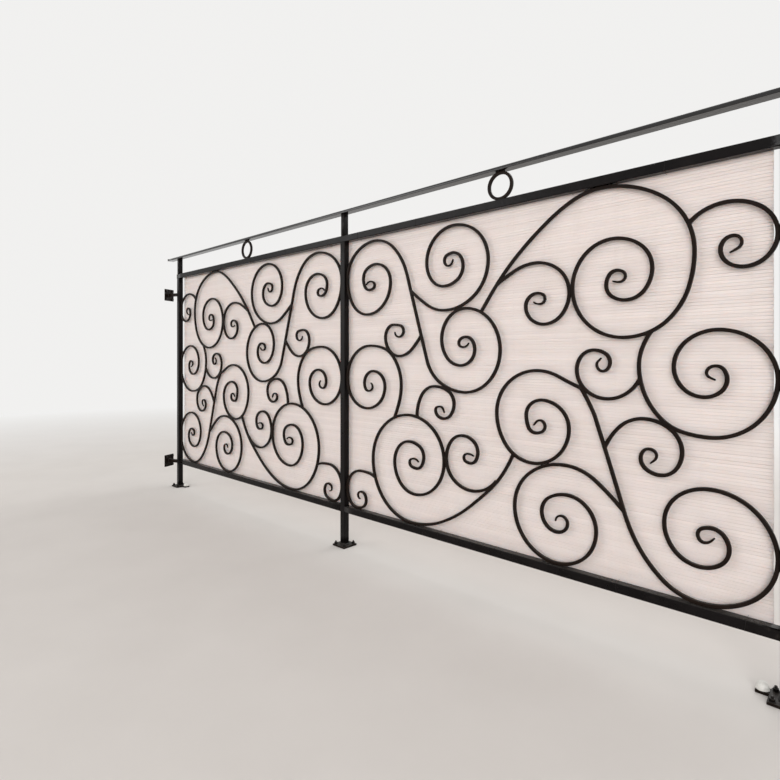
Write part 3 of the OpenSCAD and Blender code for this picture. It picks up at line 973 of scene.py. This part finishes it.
# Places of the ties along a bay, from its middle
TOP_TIES = (-745, -395, -60, 270, 560)
BOTTOM_TIES = (-650, -280, 60, 420, 760)
# How far a tie reaches past the rail's edge on the screen's side
TIE_REACH = 3.2
# Twisted ends: their length, how far before the tie's middle they start, their radius, and their gap to it
TWIST, TWIST_START, TWIST_R, TWIST_GAP = 16, 3, 0.85, 0.7


def tie_loop(x, low, high, lean):
    """Rings of the wire round a rail and the screen behind it."""
    (y0, z0), (y1, z1) = low, high
    middle, half = ((y0 + y1) / 2, (z0 + z1) / 2), ((y1 - y0) / 2, (z1 - z0) / 2)
    corners = rounded_rectangle(half[0], half[1], WIRE_BEND, 5)
    rings = []
    for k, (y, z) in enumerate(corners):
        before, after = corners[k - 1], corners[(k + 1) % len(corners)]
        out = np.array([after[1] - before[1], before[0] - after[0]])
        out = out / np.linalg.norm(out)
        rings.append([(x + lean * z / half[1] + WIRE * math.cos(turn),
                       middle[0] + y + WIRE * out[0] * math.sin(turn),
                       middle[1] + z + WIRE * out[1] * math.sin(turn)) for turn in circle(8)])
    return rings


def twisted_end(x, y, z, up, phase):
    """Rings of one of the two wire ends that are twisted together at the back."""
    steps = 24
    rings = []
    for i in range(steps + 1):
        turn = phase + 0.9 * i
        along = TWIST * i / steps
        cx, cy = x + TWIST_R * math.cos(turn), y + TWIST_R * (1 + math.sin(turn))
        rings.append([(cx + WIRE * math.cos(a), cy + WIRE * math.sin(a), z + up * (along - TWIST_START))
                      for a in circle(6)])
    return rings


def wire_tie(skin, x, low, high, up, rng):
    """Loop of wire round a rail and the screen behind it, twisted together at the back."""
    lean = rng.uniform(-2.5, 2.5)
    skin.loft(tie_loop(x, low, high, lean), loop=True)
    for phase in (0, math.pi):
        skin.loft(twisted_end(x + lean * 0.2, high[0] + TWIST_GAP, (low[1] + high[1]) / 2, up, phase))


def screen_ties(side_name, side):
    """The ties of one screen, along its top rail and its bottom rail."""
    skin = Skin()
    rng = random.Random(80 + side)
    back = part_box(f"{side_name}_screen")[1].y / MM + WIRE
    for rail, stops, up in (("top_rail", TOP_TIES, 1), (f"{side_name}_bottom_rail", BOTTOM_TIES, -1)):
        low, high = (np.array(corner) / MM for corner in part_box(rail))
        under, over = (TIE_REACH, WIRE) if up > 0 else (WIRE, TIE_REACH)
        front_low, back_high = (low[1] - WIRE, low[2] - under), (back, high[2] + over)
        for stop in stops:
            wire_tie(skin, side * (BAY_X + stop), front_low, back_high, -up, rng)
    skin.piece(f"{side_name}_screen_ties", weld_iron)


for side_name, side in SIDES:
    screen_ties(side_name, side)


# Floor, light and camera

# Colour that the camera and mirrored rays see behind the object
BACKDROP = (0.88, 0.875, 0.865)
# Distances from the object between which the floor fades into that colour, in metres
FADE_FROM, FADE_TO = 3.0, 8.0
FLOOR_REACH = 40


def area_light(name, place, target, size, power):
    """Round lamp at a place, turned to its target."""
    data = bpy.data.lights.new(name, "AREA")
    data.shape = "DISK"
    data.size = size
    data.energy = power
    lamp = bpy.data.objects.new(name, data)
    bpy.context.scene.collection.objects.link(lamp)
    lamp.location = place
    toward = np.array(target, float) - np.array(place, float)
    lamp.rotation_euler = (math.atan2(math.hypot(toward[0], toward[1]), -toward[2]), 0,
                           math.atan2(-toward[0], toward[1]))


def seen_rays(tree):
    """1 for the rays that show the backdrop: those of the camera, of gloss and of transmission."""
    rays = node(tree, "ShaderNodeLightPath")
    mirrored = maths(tree, "MAXIMUM", rays.outputs["Is Glossy Ray"], rays.outputs["Is Transmission Ray"])
    return maths(tree, "MAXIMUM", rays.outputs["Is Camera Ray"], mirrored)


def backed(tree, share, lit, kind, output):
    """Shows a lit shader as the plain backdrop, by a share, with its light left as it is."""
    backdrop = node(tree, kind)
    backdrop.inputs["Color"].default_value = (*BACKDROP, 1)
    backdrop.inputs["Strength"].default_value = 1.0
    either = node(tree, "ShaderNodeMixShader")
    tree.links.new(share, either.inputs[0])
    tree.links.new(lit.outputs[0], either.inputs[1])
    tree.links.new(backdrop.outputs[0], either.inputs[2])
    tree.links.new(either.outputs[0], tree.nodes[output].inputs["Surface"])


def pale_floor():
    """Plain floor, which far from the object shows the backdrop's colour, so that no horizon shows."""
    made, tree, shader = material("pale_floor")
    place = node(tree, "ShaderNodeNewGeometry").outputs["Position"]
    speckle = ranged(tree, noise(tree, place, 3, 4), 0.3, 0.7)
    colour = mixed(tree, speckle, (0.73, 0.695, 0.665), (0.76, 0.725, 0.695))
    tree.links.new(colour, shader.inputs["Base Color"])
    shader.inputs["Roughness"].default_value = 0.8
    shader.inputs["Specular IOR Level"].default_value = 0.2
    far = node(tree, "ShaderNodeVectorMath", operation="LENGTH")
    tree.links.new(place, far.inputs[0])
    faded = ranged(tree, far.outputs["Value"], FADE_FROM, FADE_TO)
    share = maths(tree, "MULTIPLY", faded, seen_rays(tree))
    backed(tree, share, shader, "ShaderNodeEmission", "Material Output")
    mesh = bpy.data.meshes.new("floor")
    corners = [(x * FLOOR_REACH, y * FLOOR_REACH, 0) for x, y in ((-1, -1), (1, -1), (1, 1), (-1, 1))]
    mesh.from_pydata(corners, [], [(0, 1, 2, 3)])
    mesh.materials.append(made)
    floor = bpy.data.objects.new("floor", mesh)
    bpy.context.scene.collection.objects.link(floor)


def studio_world():
    """Even light from all round, seen as the plain backdrop."""
    world = bpy.data.worlds.new("studio")
    bpy.context.scene.world = world
    world.use_nodes = True
    lit = world.node_tree.nodes["Background"]
    lit.inputs["Color"].default_value = (1.0, 0.985, 0.965, 1)
    lit.inputs["Strength"].default_value = 0.68
    backed(world.node_tree, seen_rays(world.node_tree), lit, "ShaderNodeBackground", "World Output")


def photo_camera():
    """Camera at the photograph's viewing angle."""
    data = bpy.data.cameras.new("camera")
    data.sensor_width = 36
    data.lens = 24.92
    data.shift_y = -0.042
    data.clip_start = 0.05
    camera = bpy.data.objects.new("camera", data)
    camera.location = (1.9125, -1.7036, 0.888)
    camera.rotation_euler = (math.radians(90), 0, math.radians(43.502))
    bpy.context.scene.collection.objects.link(camera)
    bpy.context.scene.camera = camera


area_light("key", place=(5.3, -7.2, 2.8), target=(0.1, 0, 0.8), size=5.0, power=345)
area_light("fill", place=(-5.4, -6.8, 3.1), target=(0, 0, 0.8), size=5.2, power=118)
area_light("back", place=(0.8, 7.8, 4.6), target=(0, 0, 0.8), size=5.6, power=200)
pale_floor()
studio_world()
photo_camera()
bpy.context.scene.view_settings.view_transform = "Standard"
